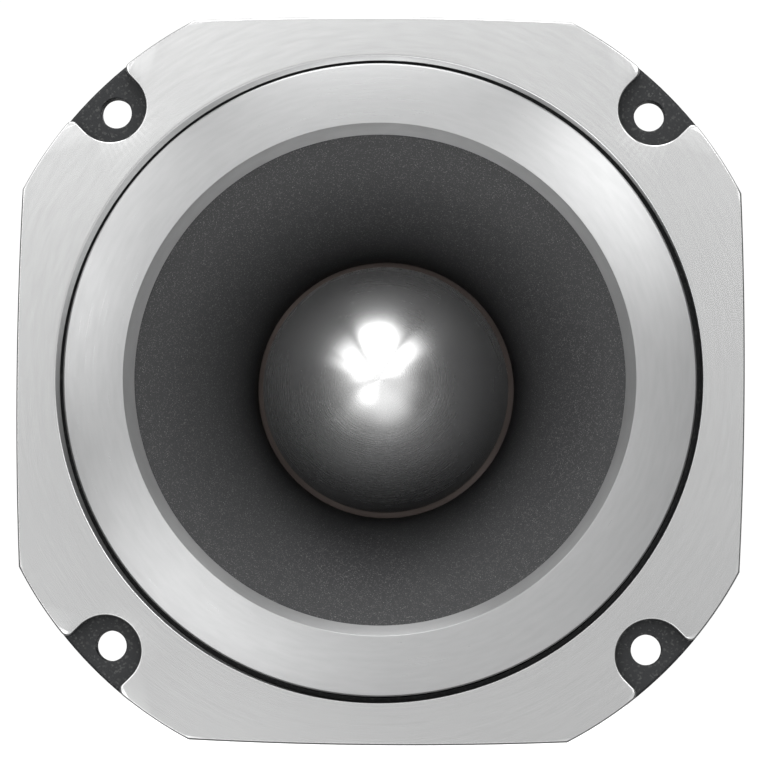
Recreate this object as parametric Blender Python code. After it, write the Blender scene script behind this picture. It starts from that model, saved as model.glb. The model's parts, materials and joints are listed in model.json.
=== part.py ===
"""Bullet tweeter for a car: a horn with a turned bullet, on a ring-diaphragm driver, behind a square plate.

Everything is modelled lying on its back, in millimetres: +X right, +Y up, +Z out of the horn's mouth, with
z = 0 on the flange's mounting face. The empty "horn_axis" stands the tweeter up, so the horn looks along -Y,
and MM turns millimetres into metres.
"""

import math

import bmesh
import bpy
from mathutils import Matrix, Vector

MM = 0.001
GAP = 0.3  # between pieces that touch on the real object
WELD = 0.0001

# Trim plate and the frame behind it
PLATE_HALF = 49.0
SIDE_BOW_R = 560.0
CORNER_R = 54.7
FRAME_INSET = 0.35
FRAME_T = 4.0
PLATE_Z = (FRAME_T + GAP, 6.4)
PLATE_CHAMFER = 0.25
OPENING_R = 43.2
OPENING_BEVEL_R = 43.85
OPENING_BEVEL_DEPTH = 0.3
HOLE_PITCH = 72.0
HOLE_R = 2.05
NOTCH_R = 4.8
NOTCH_SHIFT = 1.0
NOTCH_TIP_R = 1.0
POCKET_R = 42.7
POCKET_Z = 1.6
SPIGOT_R = 41.3
SPIGOT_Z = -5.0
BORE_R = 36.0
EAR_ANGLES = (45, 135, 225, 315)
PLATE_SCREWS = (48.3, (30, 120, 210, 300))  # pitch radius, angles
HORN_SCREWS = (38.7, (0, 90, 180, 270))

# Horn and trim ring
RING_OUT = (42.5, 9.0)  # radius, z of each edge of its face
RING_IN = (34.4, 9.8)
RING_SEAT_Z = 4.5
RING_CHANNEL = (36.2, 41.2, 6.7)  # inner and outer radius, z of its floor
MOUTH = (33.0, 7.0)
LIP_R = 35.0
HORN_FLANGE_R = 42.3
HORN_FLANGE_Z = (POCKET_Z + GAP, 4.2)
THROAT = (18.9, -27.5)
FLARE = 1.7
HORN_WALL = 2.6
DRIVER_FLANGE_R = 41.0
DRIVER_FLANGE_T = 5.0

# Bullet
BULLET_R = 17.5
BULLET_TIP_Z = 6.4
BULLET_HOLE_R = 2.8
BULLET_HOLE_DEPTH = 12.0
BOLT_R = 2.5

# Ring diaphragm and voice coil
CLAMP_Z = (THROAT[1] - 2 * GAP, THROAT[1] - GAP)
SEAT_Z = THROAT[1] - 2.2
VEE_R = 18.9
VEE_DEPTH = 1.2
CLAMP_R = (13.5, 17.3, 21.8, 25.6)  # inner edge, inner and outer side of the vee, outer edge
FORMER_R = (18.75, 19.0)
FORMER_Z = (-34.8, -29.6)
COIL_R = (19.15, 19.7)
COIL_Z = (-34.6, -31.4)
TAB_ANGLES = {"positive": -130.0, "negative": -50.0}
TAB_SIZE = (11.0, 4.0, 0.5)
TAB_R = 29.5

# Magnet system
TOP_PLATE_Z = (SEAT_Z - GAP - 6.0, SEAT_Z - GAP)
TOP_PLATE_R = (20.3, 38.5)
MAGNET_Z = (TOP_PLATE_Z[0] - GAP - 15.0, TOP_PLATE_Z[0] - GAP)
MAGNET_R = (24.0, 32.5)
BACK_PLATE_Z = (MAGNET_Z[0] - GAP - 6.0, MAGNET_Z[0] - GAP)
BACK_PLATE_R = 31.0
EDGE_CHAMFER = 1.0
POLE_R = 18.3
POLE_BORE_R = 3.0
DRIVER_SCREWS = (35.8, (0, 90, 180, 270))
LEAD_HOLE_R = 1.3

# Rear cover
COVER_R = 41.0
COVER_WALL = 2.0
COVER_Z = (-71.0, THROAT[1] - GAP)
COVER_BACK_T = 2.5
COVER_CHAMFER = 2.0
COVER_SCREWS = (27.3, (30, 150, 270))
BOSS_R = 2.8

# Terminal cup and its two push terminals
CUP_Y = -14.0
CUP_HALF = (20.0, 8.5)
CUP_CORNER_R = 6.0
CUP_WALL = 1.6
CUP_FLANGE_HALF = (28.0, 10.0)
CUP_FLANGE_T = 1.2
CUP_Z = (-63.5, -61.3)  # the floor's back and front
CUP_SCREW_X = 24.0
SOCKET_X = 9.0
SOCKET_BACK_Z = -69.0
SOCKET_R = 5.1
SOCKET_OUT_R = 6.1
SOCKET_LIP = (4.4, 1.0)  # radius, thickness
CAP_R = 4.1
CAP_BORE_R = 3.3
CAP_FOOT = (4.8, 1.0)
CAP_BACK_Z = -75.0
CAP_END_T = 1.5
CAP_EYE_R = 1.9
POST_R = 1.5
POST_Z = (-75.4, -59.5)
POST_EYE_Z = -73.2
POST_EYE_R = 0.9
SPRING_R = 2.5
SPRING_WIRE_R = 0.35
SPRING_TURNS = 4
SPRING_ROUND = 9

# Crossover capacitor and leads
CAPACITOR = (0, 14.5, -63.2)
CAPACITOR_R = 4.0
CAPACITOR_HALF = 11.0
CAPACITOR_LEAD = (0.45, 4.0)  # radius, length
CLIP_T = 0.7
CLIP_FOOT = 3.5
CLIP_HALF = 2.5
WIRE_R = 0.6
LEAD_R = 0.25
LEAD_HOLE_PITCH_R = 36.0

# Facets round a full turn
ROUND = 40
DRIVER_ROUND = 32
SCREW_ROUND = 10

root = None


# ---------------------------------------------------------------- shared tools


def material(name, colour, roughness, metallic=0.0):
    made = bpy.data.materials.new(name)
    made.use_nodes = True
    shader = made.node_tree.nodes["Principled BSDF"]
    shader.inputs["Base Color"].default_value = (*colour, 1.0)
    shader.inputs["Roughness"].default_value = roughness
    shader.inputs["Metallic"].default_value = metallic
    return made


def add_object(name, bm, finish, location=(0, 0, 0)):
    """Makes the bmesh, which is in millimetres, an object on the horn's axis empty."""
    bmesh.ops.remove_doubles(bm, verts=bm.verts, dist=WELD)
    bmesh.ops.recalc_face_normals(bm, faces=bm.faces)
    bm.transform(Matrix.Scale(MM, 4))
    mesh = bpy.data.meshes.new(name)
    bm.to_mesh(mesh)
    bm.free()
    mesh.shade_smooth()
    mesh.set_sharp_from_angle(angle=math.radians(35))
    obj = bpy.data.objects.new(name, mesh)
    bpy.context.scene.collection.objects.link(obj)
    obj.parent = root
    obj.location = Vector(location) * MM
    if finish:
        mesh.materials.append(finish)
    return obj


def spin(bm, profile, steps=ROUND):
    """Turns (radius, z) points round the z axis. A profile with no point on the axis is a closed ring."""
    verts = [bm.verts.new((r, 0, z)) for r, z in profile]
    edges = [bm.edges.new(pair) for pair in zip(verts, verts[1:])]
    if all(r > 0 for r, _ in profile):
        edges.append(bm.edges.new((verts[-1], verts[0])))
    turn = {"cent": (0, 0, 0), "axis": (0, 0, 1), "angle": math.tau, "use_merge": True}
    bmesh.ops.spin(bm, geom=verts + edges, steps=steps, **turn)


def turned(name, profile, finish, steps=ROUND, location=(0, 0, 0)):
    bm = bmesh.new()
    spin(bm, profile, steps)
    return add_object(name, bm, finish, location)


def loop(bm, outline, z):
    return [bm.verts.new((x, y, z)) for x, y in outline]


def walls(bm, lower, upper):
    """Quads between two loops with the same number of points."""
    for i, start in enumerate(lower):
        j = (i + 1) % len(lower)
        bm.faces.new((start, lower[j], upper[j], upper[i]))


def cap(bm, *loops):
    """Fills the flat region between loops on one plane: the first holds the others."""
    edges = []
    for verts in loops:
        for pair in zip(verts, verts[1:] + verts[:1]):
            edges.append(bm.edges.get(pair) or bm.edges.new(pair))
    bmesh.ops.triangle_fill(bm, edges=edges, use_beauty=True, use_dissolve=False)


def circle(radius, centre=(0, 0), steps=ROUND):
    """Its corners stand off the axes by half a step, clear of edges that run through its centre."""
    angles = [math.tau * (i + 0.5) / steps for i in range(steps)]
    return [(centre[0] + radius * math.cos(a), centre[1] + radius * math.sin(a)) for a in angles]


def rounded_box(half, corner, centre, steps=4):
    """Outline of a rectangle with round corners, anticlockwise."""
    points = []
    for quarter, (sx, sy) in enumerate(((1, 1), (-1, 1), (-1, -1), (1, -1))):
        for i in range(steps + 1):
            a = math.radians(90 * (quarter + i / steps))
            x = sx * (half[0] - corner) + corner * math.cos(a)
            y = sy * (half[1] - corner) + corner * math.sin(a)
            points.append((centre[0] + x, centre[1] + y))
    return points


def prism(bm, outline, z0, z1):
    lower, upper = loop(bm, outline, z0), loop(bm, outline, z1)
    walls(bm, lower, upper)
    cap(bm, lower)
    cap(bm, upper)


def places(pitch_r, angles):
    return [polar(pitch_r, a) for a in angles]


def holes(pitch_r, angles, radius, z0, z1):
    """Round holes on a pitch circle, each (x, y, radius, z0, z1)."""
    return [(x, y, radius, z0, z1) for x, y in places(pitch_r, angles)]


def cylinders(name, rounds, steps):
    bm = bmesh.new()
    for x, y, radius, z0, z1 in rounds:
        prism(bm, circle(radius, (x, y), steps), z0, z1)
    return add_object(name, bm, None)


def drill(obj, name, rounds, steps=SCREW_ROUND):
    cut(obj, cylinders(name, rounds, steps))


def cut(obj, cutter, operation="DIFFERENCE"):
    cutter.hide_render = True
    cutter.display_type = "WIRE"
    modifier = obj.modifiers.new(cutter.name, "BOOLEAN")
    modifier.operation = operation
    modifier.object = cutter


def polar(radius, degrees):
    a = math.radians(degrees)
    return radius * math.cos(a), radius * math.sin(a)


def smooth_route(points, per_span=3):
    """Points on a Catmull-Rom curve through the route's own points."""
    p = [Vector(q) for q in points]
    p = [2 * p[0] - p[1], *p, 2 * p[-1] - p[-2]]
    found = []
    for a, b, c, d in zip(p, p[1:], p[2:], p[3:]):
        for i in range(per_span):
            t = i / per_span
            curve = 2 * b + (c - a) * t + (2 * a - 5 * b + 4 * c - d) * t**2 + (3 * b - a - 3 * c + d) * t**3
            found.append(curve / 2)
    return [*found, p[-2]]


def wire(name, points, radius, finish, resolution=2):
    """A round wire along points in millimetres."""
    curve = bpy.data.curves.new(name, "CURVE")
    curve.dimensions = "3D"
    curve.bevel_depth = radius * MM
    curve.bevel_resolution = resolution
    curve.use_fill_caps = True
    spline = curve.splines.new("POLY")
    spline.points.add(len(points) - 1)
    for point, place in zip(spline.points, points):
        point.co = (*(Vector(place) * MM), 1.0)
    curve.materials.append(finish)
    obj = bpy.data.objects.new(name, curve)
    bpy.context.scene.collection.objects.link(obj)
    obj.parent = root
    return obj


def screw(name, finish, place, seat_z, head, shank, towards=1):
    """A pan-head screw with its head on seat_z. head and shank are (radius, length)."""
    head_r, head_h = head
    shank_r, length = shank
    profile = [
        (0, -head_h),
        (0.6 * head_r, -head_h),
        (head_r, -0.45 * head_h),
        (head_r, 0),
        (shank_r, 0),
        (shank_r, length - 0.5 * shank_r),
        (0.5 * shank_r, length),
        (0, length),
    ]
    turned(name, [(r, towards * z) for r, z in profile], finish, SCREW_ROUND, (*place, seat_z))


# ------------------------------------------------------------ trim plate, frame


def square_outline(inset=0.0, notched=True):
    """Outline of the bowed square with arc corners, anticlockwise. Notches leave the frame's ears bare."""
    side_centre = PLATE_HALF - SIDE_BOW_R
    side_r, corner_r = SIDE_BOW_R - inset, CORNER_R - inset
    x = (corner_r**2 - side_r**2 + side_centre**2) / (2 * side_centre)
    vertex = math.sqrt(corner_r**2 - x**2)
    bow = math.degrees(math.asin(vertex / side_r))
    first = math.degrees(math.asin(vertex / corner_r))
    octant = []
    for i in range(3):
        dx, dy = polar(side_r, bow * i / 3)
        octant.append((side_centre + dx, dy))
    if notched:
        octant += notch_half(inset, first, corner_r)
    else:
        octant += [polar(corner_r, first + (45 - first) * i / 3) for i in range(4)]
    quadrant = octant + [(b, a) for a, b in reversed(octant)][1:-1]
    outline = []
    for c, s in ((1, 0), (0, 1), (-1, 0), (0, -1)):
        outline += [(c * a - s * b, s * a + c * b) for a, b in quadrant]
    return outline


def notch_half(inset, first, corner_r):
    """The corner arc, its rounded tip, and half of the U-shaped notch, down to the diagonal."""
    tip_r, notch_r = NOTCH_TIP_R - inset, NOTCH_R + inset
    across = NOTCH_R + NOTCH_TIP_R
    along = math.sqrt((CORNER_R - NOTCH_TIP_R) ** 2 - across**2)
    lean = math.degrees(math.atan2(across, along))
    points = [polar(corner_r, first + (45 - lean - first) * i / 3) for i in range(4)]
    bottom = HOLE_PITCH / math.sqrt(2) + NOTCH_SHIFT
    sides = []
    for i in range(1, 4):
        dx, dy = polar(tip_r, -lean + (90 + lean) * i / 3)
        sides.append((along + dx, dy - across))
    for i in range(6):
        dx, dy = polar(notch_r, 270 - 90 * i / 5)
        sides.append((bottom + dx, dy))
    half = math.sqrt(0.5)
    return points + [((u - v) * half, (u + v) * half) for u, v in sides]


def build_face_plate(finish):
    bm = bmesh.new()
    back, front = PLATE_Z
    outer = square_outline()
    bottom, edge = loop(bm, outer, back), loop(bm, outer, front - PLATE_CHAMFER)
    top = loop(bm, square_outline(PLATE_CHAMFER), front)
    hole = loop(bm, circle(OPENING_R), back)
    bevel = loop(bm, circle(OPENING_R), front - OPENING_BEVEL_DEPTH)
    rim = loop(bm, circle(OPENING_BEVEL_R), front)
    for lower, upper in ((bottom, edge), (edge, top), (hole, bevel), (bevel, rim)):
        walls(bm, lower, upper)
    cap(bm, bottom, hole)
    cap(bm, top, rim)
    plate = add_object("face_plate", bm, finish)
    drill(plate, "plate_tapping", holes(*PLATE_SCREWS, 1.3, back - 1, back + 1.5))


def build_frame(finish):
    bm = bmesh.new()
    outline = square_outline(FRAME_INSET, notched=False)
    back, front = loop(bm, outline, 0), loop(bm, outline, FRAME_T)
    profile = [
        (SPIGOT_R, 0),
        (SPIGOT_R, SPIGOT_Z),
        (BORE_R, SPIGOT_Z),
        (BORE_R, POCKET_Z),
        (POCKET_R, POCKET_Z),
        (POCKET_R, FRAME_T),
    ]
    rings = [loop(bm, circle(r), z) for r, z in profile]
    walls(bm, back, front)
    for lower, upper in zip(rings, rings[1:]):
        walls(bm, lower, upper)
    cap(bm, back, rings[0])
    cap(bm, front, rings[-1])
    frame = add_object("mounting_frame", bm, finish)
    ears = holes(HOLE_PITCH / math.sqrt(2), EAR_ANGLES, HOLE_R, -1, FRAME_T + 1)
    drill(frame, "ear_holes", ears, steps=24)
    drill(frame, "plate_screw_holes", holes(*PLATE_SCREWS, 1.3, -1, FRAME_T + 1))
    drill(frame, "plate_screw_seats", holes(*PLATE_SCREWS, 2.4, -1, 2.0))
    drill(frame, "horn_tapping", holes(*HORN_SCREWS, 1.8, SPIGOT_Z - 1, POCKET_Z + 1))


def build_frame_screws(steel):
    """Screws up into the trim plate from behind, and screws down through the horn's flange."""
    for i, place in enumerate(places(*PLATE_SCREWS), 1):
        screw(f"plate_screw_{i}", steel, place, 2.0 - GAP, (2.0, 1.4), (1.0, 3.8))
    for i, place in enumerate(places(*HORN_SCREWS), 1):
        screw(f"horn_screw_{i}", steel, place, HORN_FLANGE_Z[1] + GAP, (2.3, 1.6), (1.5, 8.5), towards=-1)


# ---------------------------------------------------------------- horn, bullet


def flare_radius(z):
    (throat_r, throat_z), (mouth_r, mouth_z) = THROAT, MOUTH
    return throat_r + (mouth_r - throat_r) * ((z - throat_z) / (mouth_z - throat_z)) ** FLARE


def build_horn(finish):
    throat_z, mouth_z = THROAT[1], MOUTH[1]
    flange_back, flange_front = HORN_FLANGE_Z
    bell_z = throat_z + DRIVER_FLANGE_T
    levels = 8
    heights = [throat_z + (mouth_z - throat_z) * i / levels for i in range(levels + 1)]
    profile = [(flare_radius(z), z) for z in heights]
    profile += [(LIP_R, mouth_z), (LIP_R, flange_front), (HORN_FLANGE_R, flange_front)]
    profile.append((HORN_FLANGE_R, flange_back))
    heights = [flange_back + (bell_z - flange_back) * i / 4 for i in range(5)]
    profile += [(flare_radius(z) + HORN_WALL, z) for z in heights]
    profile += [(DRIVER_FLANGE_R, bell_z), (DRIVER_FLANGE_R, throat_z)]
    horn = turned("horn", profile, finish)
    drill(horn, "driver_tapping", holes(*DRIVER_SCREWS, 1.8, throat_z - 1, bell_z - 1))
    drill(horn, "horn_screw_holes", holes(*HORN_SCREWS, 1.8, 0, flange_front + 1))


def build_trim_ring(finish):
    """A turned ring with a channel under it for the horn's screw heads."""
    (out_r, out_z), (in_r, in_z) = RING_OUT, RING_IN
    channel_in, channel_out, channel_z = RING_CHANNEL
    under = MOUTH[1] + GAP
    profile = [
        (channel_out, RING_SEAT_Z),
        (out_r, RING_SEAT_Z),
        (out_r, out_z - 0.3),
        (out_r - 0.3, out_z),
        (in_r, in_z),
        (MOUTH[0], under + 0.2),
        (MOUTH[0], under),
        (LIP_R + GAP, under),
        (LIP_R + GAP, RING_SEAT_Z),
        (channel_in, RING_SEAT_Z),
        (channel_in, channel_z),
        (channel_out, channel_z),
    ]
    turned("trim_ring", profile, finish)


def build_bullet(finish):
    """Half an ellipsoid, with the blind hole for its bolt."""
    base_z = THROAT[1]
    levels = 8
    nose = []
    for i in range(levels):
        dr, dz = polar(1, 90 * i / levels)
        nose.append((BULLET_R * dr, base_z + (BULLET_TIP_Z - base_z) * dz))
    nose.append((0, BULLET_TIP_Z))
    hole_end = base_z + BULLET_HOLE_DEPTH
    turned("bullet", [(0, hole_end), (BULLET_HOLE_R, hole_end), (BULLET_HOLE_R, base_z), *nose], finish)


def build_bullet_bolt(steel):
    front = BACK_PLATE_Z[0] - GAP
    back = front - 1.2
    inner = BOLT_R + GAP
    turned("bullet_bolt_washer", [(inner, back), (6.5, back), (6.5, front), (inner, front)], steel, 24)
    seat = back - GAP
    reach = THROAT[1] + BULLET_HOLE_DEPTH - 1 - seat
    screw("bullet_bolt", steel, (0, 0), seat, (4.5, 3.6), (BOLT_R, reach))


# ------------------------------------------------------------ driver and magnet


def build_diaphragm(titanium, phenolic):
    low, high = CLAMP_Z
    edge_in, vee_in, vee_out, edge_out = CLAMP_R
    top = [(edge_in, high), (vee_in, high), (VEE_R, high - VEE_DEPTH), (vee_out, high), (edge_out, high)]
    thickness = high - low
    profile = top + [(r, z - thickness) for r, z in reversed(top)]
    turned("diaphragm", profile, titanium, DRIVER_ROUND)
    ledge = low - GAP
    lip = vee_in - GAP
    step = edge_in - GAP
    inner = POLE_BORE_R + GAP
    seat = [(inner, SEAT_Z), (lip, SEAT_Z), (lip, ledge), (step, ledge), (step, high), (inner, high)]
    turned("diaphragm_seat", seat, phenolic, DRIVER_ROUND)
    lip = vee_out + 1.4
    step = edge_out + GAP
    outer = TOP_PLATE_R[1]
    mount = [(lip, SEAT_Z), (outer, SEAT_Z), (outer, high), (step, high), (step, ledge), (lip, ledge)]
    ring = turned("diaphragm_mount_ring", mount, phenolic, DRIVER_ROUND)
    drill(ring, "mount_ring_screw_holes", holes(*DRIVER_SCREWS, 1.8, SEAT_Z - 1, high + 1))
    bm = bmesh.new()
    for degrees in TAB_ANGLES.values():
        place = Matrix.Rotation(math.radians(degrees), 4, "Z") @ Matrix.Translation((TAB_R + 1, 0, SEAT_Z))
        bmesh.ops.create_cube(bm, size=1, matrix=place @ Matrix.Diagonal((20, 4.8, 1.8, 1)))
    cut(ring, add_object("lead_tab_grooves", bm, None))


def build_voice_coil(aluminium, copper, brass):
    coils = (("coil_former", FORMER_R, FORMER_Z, aluminium), ("voice_coil", COIL_R, COIL_Z, copper))
    for name, (inner, outer), (low, high), finish in coils:
        turned(name, [(inner, low), (outer, low), (outer, high), (inner, high)], finish, DRIVER_ROUND)
    tab_z = SEAT_Z + 0.4
    for pole, degrees in TAB_ANGLES.items():
        bm = bmesh.new()
        bmesh.ops.create_cube(bm, size=1, matrix=Matrix.Diagonal((*TAB_SIZE, 1)))
        tab = add_object(f"lead_tab_{pole}", bm, brass, (*polar(TAB_R, degrees), tab_z))
        tab.rotation_euler = (0, 0, math.radians(degrees))
        rise = [(19.45, COIL_Z[1] + 0.6), (19.9, SEAT_Z + 0.1), (21.4, tab_z), (23.4, tab_z)]
        route = [(*polar(r, degrees), z) for r, z in rise]
        wire(f"coil_lead_{pole}", smooth_route(route), LEAD_R, copper)


def build_magnet_system(steel, ferrite):
    (low, high), (inner, outer) = TOP_PLATE_Z, TOP_PLATE_R
    top = turned("top_plate", [(inner, low), (outer, low), (outer, high), (inner, high)], steel, DRIVER_ROUND)
    drill(top, "top_plate_screw_holes", holes(*DRIVER_SCREWS, 1.8, low - 1, high + 1))
    drill(top, "lead_holes", holes(LEAD_HOLE_PITCH_R, TAB_ANGLES.values(), LEAD_HOLE_R, low - 1, high + 1))
    (low, high), (inner, outer) = MAGNET_Z, MAGNET_R
    soft = outer - EDGE_CHAMFER
    ring = [(inner, low), (soft, low), (outer, low + EDGE_CHAMFER), (outer, high - EDGE_CHAMFER)]
    turned("magnet", [*ring, (soft, high), (inner, high)], ferrite, DRIVER_ROUND)
    back, front = BACK_PLATE_Z
    pole_top = TOP_PLATE_Z[1]
    yoke = [
        (POLE_BORE_R, back),
        (BACK_PLATE_R - EDGE_CHAMFER, back),
        (BACK_PLATE_R, back + EDGE_CHAMFER),
        (BACK_PLATE_R, front),
        (POLE_R, front),
        (POLE_R, pole_top),
        (POLE_BORE_R, pole_top),
    ]
    pole = turned("pole_yoke", yoke, steel, DRIVER_ROUND)
    drill(pole, "cover_screw_tapping", holes(*COVER_SCREWS, 1.8, back - 1, back + 4.5))


def build_driver_screws(steel):
    for i, place in enumerate(places(*DRIVER_SCREWS), 1):
        screw(f"driver_screw_{i}", steel, place, TOP_PLATE_Z[0] - GAP, (2.6, 1.8), (1.5, 11.5))


# ------------------------------------------------------------------- rear cover


def build_rear_cover(finish, steel):
    back, front = COVER_Z
    inside_r, inside_z = COVER_R - COVER_WALL, back + COVER_BACK_T
    shell = [
        (0, back),
        (COVER_R - COVER_CHAMFER, back),
        (COVER_R, back + COVER_CHAMFER),
        (COVER_R, front),
        (inside_r, front),
        (inside_r, inside_z),
        (0, inside_z),
    ]
    cover = turned("rear_cover", shell, finish)
    bosses = cylinders("cover_bosses", holes(*COVER_SCREWS, BOSS_R, inside_z - 1, BACK_PLATE_Z[0] - GAP), 16)
    cut(cover, bosses, "UNION")
    drill(cover, "cover_screw_holes", holes(*COVER_SCREWS, 1.8, back - 1, BACK_PLATE_Z[0] + 1))
    drill(cover, "cover_screw_seats", holes(*COVER_SCREWS, 2.7, back - 1, back + 1.6), 16)
    bm = bmesh.new()
    window = rounded_box([h + GAP for h in CUP_HALF], CUP_CORNER_R, (0, CUP_Y))
    prism(bm, window, back - 1, inside_z + 1)
    cut(cover, add_object("terminal_window", bm, None))
    sides = [(x, CUP_Y, 1.4, back - 1, inside_z + 1) for x in (-CUP_SCREW_X, CUP_SCREW_X)]
    drill(cover, "terminal_screw_holes", sides)
    for i, place in enumerate(places(*COVER_SCREWS), 1):
        screw(f"cover_screw_{i}", steel, place, back + 1.6 - GAP, (2.3, 1.5), (1.5, 15.5))


# -------------------------------------------------------------------- terminals


def build_terminal_block(finish, steel):
    """A cup with a flange, and the two sockets that guide the push caps."""
    flange_front = COVER_Z[0] - GAP
    flange_back = flange_front - CUP_FLANGE_T
    floor_z, front_z = CUP_Z
    lip_r, lip_t = SOCKET_LIP
    centre = (0, CUP_Y)
    flange = rounded_box(CUP_FLANGE_HALF, CUP_FLANGE_HALF[1] - 0.01, centre)
    outer = rounded_box(CUP_HALF, CUP_CORNER_R, centre)
    inner = rounded_box([h - CUP_WALL for h in CUP_HALF], CUP_CORNER_R - CUP_WALL, centre)
    bm = bmesh.new()
    brim_back, brim_front = loop(bm, flange, flange_back), loop(bm, flange, flange_front)
    neck, front = loop(bm, outer, flange_front), loop(bm, outer, front_z)
    mouth, floor = loop(bm, inner, flange_back), loop(bm, inner, floor_z)
    for lower, upper in ((brim_back, brim_front), (neck, front), (mouth, floor)):
        walls(bm, lower, upper)
    cap(bm, brim_back, mouth)
    cap(bm, brim_front, neck)
    cap(bm, front)
    socket = [
        (SOCKET_OUT_R, floor_z),
        (SOCKET_OUT_R, SOCKET_BACK_Z),
        (lip_r, SOCKET_BACK_Z),
        (lip_r, SOCKET_BACK_Z + lip_t),
        (SOCKET_R, SOCKET_BACK_Z + lip_t),
        (SOCKET_R, floor_z),
    ]
    bases = []
    for x in (-SOCKET_X, SOCKET_X):
        rings = [loop(bm, circle(r, (x, CUP_Y), 24), z) for r, z in socket]
        for lower, upper in zip(rings, rings[1:]):
            walls(bm, lower, upper)
        cap(bm, rings[-1])
        bases.append(rings[0])
    cap(bm, floor, *bases)
    block = add_object("terminal_block", bm, finish)
    ends = (-CUP_SCREW_X, CUP_SCREW_X)
    drill(block, "terminal_flange_holes", [(x, CUP_Y, 1.4, flange_back - 1, flange_front + 1) for x in ends])
    posts = [(x, CUP_Y, POST_R + GAP, floor_z - 1, front_z + 1) for x in (-SOCKET_X, SOCKET_X)]
    drill(block, "post_holes", posts)
    for i, x in enumerate(ends, 1):
        screw(f"terminal_screw_{i}", steel, (x, CUP_Y), flange_back - GAP, (2.2, 1.4), (1.1, 5.5))


def build_push_terminal(colour, x, cap_finish, brass, steel):
    """A fixed post, the sprung cap that slides down it, and the spring under the cap."""
    place = (x, CUP_Y, 0)
    foot_r, foot_t = CAP_FOOT
    foot_z = SOCKET_BACK_Z + SOCKET_LIP[1] + GAP
    end_z = CAP_BACK_Z + CAP_END_T
    profile = [
        (CAP_EYE_R, CAP_BACK_Z),
        (CAP_R - 0.6, CAP_BACK_Z),
        (CAP_R, CAP_BACK_Z + 0.6),
        (CAP_R, foot_z),
        (foot_r, foot_z),
        (foot_r, foot_z + foot_t),
        (CAP_BORE_R, foot_z + foot_t),
        (CAP_BORE_R, end_z),
        (CAP_EYE_R, end_z),
    ]
    turned(f"push_cap_{colour}", profile, cap_finish, 24, place)
    back, front = POST_Z
    point = POST_R - 0.4
    half = [(0, back), (point, back), (POST_R, back + 0.4)]
    profile = [*half, (POST_R, front - 0.4), (point, front), (0, front)]
    post = turned(f"terminal_post_{colour}", profile, brass, 16, place)
    bm = bmesh.new()
    across = Matrix.Translation((0, 0, POST_EYE_Z)) @ Matrix.Rotation(math.radians(90), 4, "Y")
    eye = {"radius1": POST_EYE_R, "radius2": POST_EYE_R, "depth": 6}
    bmesh.ops.create_cone(bm, cap_ends=True, segments=12, matrix=across, **eye)
    cut(post, add_object(f"post_eye_{colour}", bm, None, place))
    start = end_z + GAP + SPRING_WIRE_R
    finish_z = CUP_Z[0] - GAP - SPRING_WIRE_R
    count = SPRING_TURNS * SPRING_ROUND
    coil = []
    for i in range(count + 1):
        dx, dy = polar(SPRING_R, 360 * i / SPRING_ROUND)
        coil.append((x + dx, CUP_Y + dy, start + (finish_z - start) * i / count))
    wire(f"push_spring_{colour}", coil, SPRING_WIRE_R, steel, resolution=1)


# ----------------------------------------------------------- crossover and leads


def build_capacitor(sleeve, steel):
    """The series capacitor across the cover, under a saddle clip."""
    lead_r, lead_length = CAPACITOR_LEAD
    half, soft = CAPACITOR_HALF, CAPACITOR_R - 0.7
    end = half + lead_length
    side = [(0, end), (lead_r, end), (lead_r, half), (soft, half), (CAPACITOR_R, half - 0.7)]
    body = turned("capacitor", [(r, -z) for r, z in side] + side[::-1], sleeve, 20, CAPACITOR)
    body.rotation_euler = (0, math.radians(90), 0)
    x, y, z = CAPACITOR
    low = COVER_Z[0] + COVER_BACK_T + GAP - z
    inner, outer = CAPACITOR_R + GAP, CAPACITOR_R + GAP + CLIP_T
    arch = [polar(outer, 15 * i) for i in range(13)]
    outline = [(outer + CLIP_FOOT, low), (outer + CLIP_FOOT, low + CLIP_T), (outer, low + CLIP_T), *arch]
    outline += [(-outer, low + CLIP_T), (-outer - CLIP_FOOT, low + CLIP_T), (-outer - CLIP_FOOT, low)]
    outline += [(-inner, low), *[polar(inner, 180 - 15 * i) for i in range(13)], (inner, low)]
    bm = bmesh.new()
    prism(bm, outline, -CLIP_HALF, CLIP_HALF)
    # The outline's own x and y become the object's y and z, and its z the object's x.
    bm.transform(Matrix(((0, 0, 1, 0), (1, 0, 0, 0), (0, 1, 0, 0), (0, 0, 0, 1))))
    add_object("capacitor_clip", bm, steel, CAPACITOR)


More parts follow.
